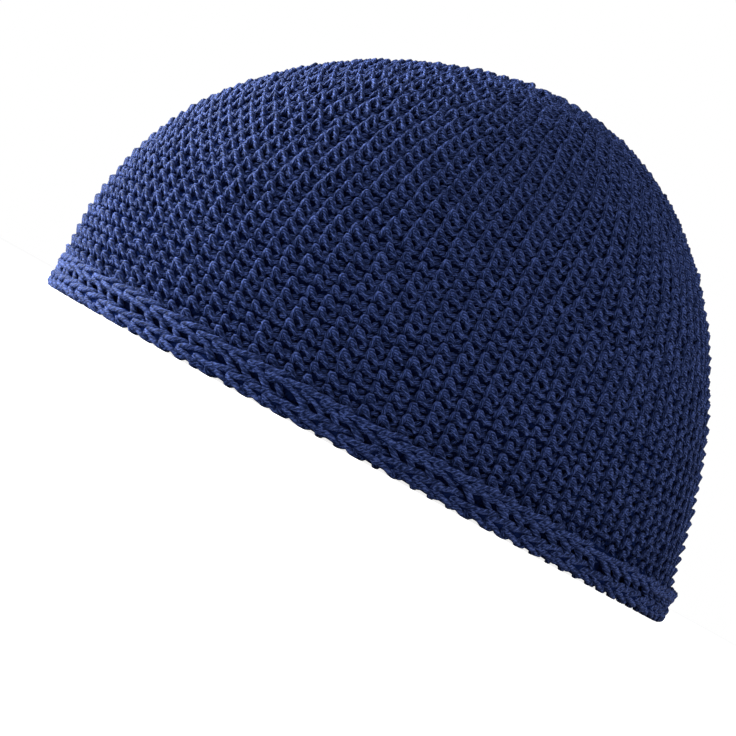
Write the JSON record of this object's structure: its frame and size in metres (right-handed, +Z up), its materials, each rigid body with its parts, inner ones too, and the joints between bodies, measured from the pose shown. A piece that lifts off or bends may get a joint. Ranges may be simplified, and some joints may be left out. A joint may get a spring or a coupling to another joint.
{
  "type": "kufi",
  "caption": "Hand-crocheted cotton skull cap: a hollow oval dome on a raised, braided rim band, open below for the head.",
  "frame": {"origin": "middle of the oval rim, on the surface that the cap stands on", "axes": "+Z up, -Y towards the wearer's forehead, +X towards the wearer's left ear"},
  "size_m": [0.173, 0.207, 0.122],
  "materials": {
    "navy_cotton": "matt cotton yarn, crocheted in single crochet"
  },
  "bodies": {
    "root": {"crown": "navy_cotton", "upper_braid": "navy_cotton", "eyelet_round": "navy_cotton", "rim_braid": "navy_cotton"}
  },
  "joints": []
}
